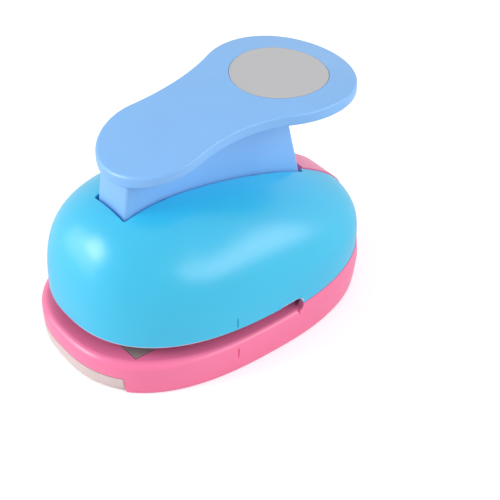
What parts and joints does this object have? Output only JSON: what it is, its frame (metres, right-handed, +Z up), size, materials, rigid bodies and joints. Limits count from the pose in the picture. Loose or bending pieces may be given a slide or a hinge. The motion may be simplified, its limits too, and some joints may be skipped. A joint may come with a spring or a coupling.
{
  "type": "circle craft punch",
  "caption": "Desk circle punch: oval base with a catch tray, domed housing, and a paddle lever that drives a round cutter down through paper into a die.",
  "frame": {"origin": "on the surface the punch stands on, below the middle of its bounding box", "axes": "+Z up, -Y towards the paper throat at the front, +Y towards the lever's thumb pad at the rear, +X to the right when seen from the front with -Y towards the viewer"},
  "size_m": [0.0764, 0.1112, 0.0756],
  "materials": {
    "pink_abs": "satin moulded ABS, bright pink",
    "cyan_abs": "satin moulded ABS, cyan blue",
    "periwinkle_abs": "satin moulded ABS, periwinkle blue",
    "clear_polypropylene": "translucent natural polypropylene",
    "grey_foil": "plain grey inset disc, fine matte",
    "ground_tool_steel": "ground tool steel",
    "zinc_plated_steel": "zinc plated steel",
    "spring_steel": "bright drawn spring wire",
    "white_acetal": "plain white acetal"
  },
  "bodies": {
    "base": {"base_shell": "pink_abs", "top_housing": "cyan_abs", "die_plate": "ground_tool_steel", "throat_spacer": "ground_tool_steel", "guide_plate": "ground_tool_steel", "frame_rivet_left": "ground_tool_steel", "frame_rivet_right": "ground_tool_steel", "guide_post_left": "ground_tool_steel", "guide_post_right": "ground_tool_steel", "post_clip_left": "ground_tool_steel", "post_clip_right": "ground_tool_steel", "pivot_pin": "zinc_plated_steel", "pivot_clip": "zinc_plated_steel", "housing_screw_1": "zinc_plated_steel", "housing_screw_2": "zinc_plated_steel", "housing_screw_3": "zinc_plated_steel", "housing_screw_4": "zinc_plated_steel", "plate_screw_1": "zinc_plated_steel", "plate_screw_2": "zinc_plated_steel", "plate_screw_3": "zinc_plated_steel", "plate_screw_4": "zinc_plated_steel", "return_spring_left": "spring_steel", "return_spring_right": "spring_steel"},
    "lever": {"lever": "periwinkle_abs", "lever_badge": "grey_foil", "roller_pin": "zinc_plated_steel"},
    "roller": {"press_roller": "white_acetal"},
    "ram": {"punch_cutter": "ground_tool_steel", "pressure_plate": "ground_tool_steel", "wear_pad": "white_acetal", "punch_screw_left": "ground_tool_steel", "punch_screw_right": "ground_tool_steel"},
    "tray": {"catch_tray": "clear_polypropylene"}
  },
  "joints": [
    {"name": "lever_press", "type": "hinge", "parent": "base", "child": "lever", "pos_m": [0, -0.0318, 0.0365], "axis": [1, 0, 0], "range_deg": [-16, 0]},
    {"name": "ram_travel", "type": "slide", "parent": "base", "child": "ram", "axis": [0, 0, -1], "range_m": [0, 0.00547], "stiffness_N_per_m": 300, "springref_m": -0.008, "deforming": ["return_spring_left", "return_spring_right"]},
    {"name": "roller_spin", "type": "hinge", "parent": "lever", "child": "roller", "pos_m": [0, -0.01239, 0.03923], "axis": [1, 0, 0], "range_deg": [0, 16]},
    {"name": "tray_slide", "type": "slide", "parent": "base", "child": "tray", "axis": [0, -1, 0], "range_m": [0, 0.045]}
  ],
  "couplings": [
    {"joint": "ram_travel", "follows": "lever_press", "m_per_rad": -0.019536},
    {"joint": "roller_spin", "follows": "lever_press", "ratio": -1}
  ]
}
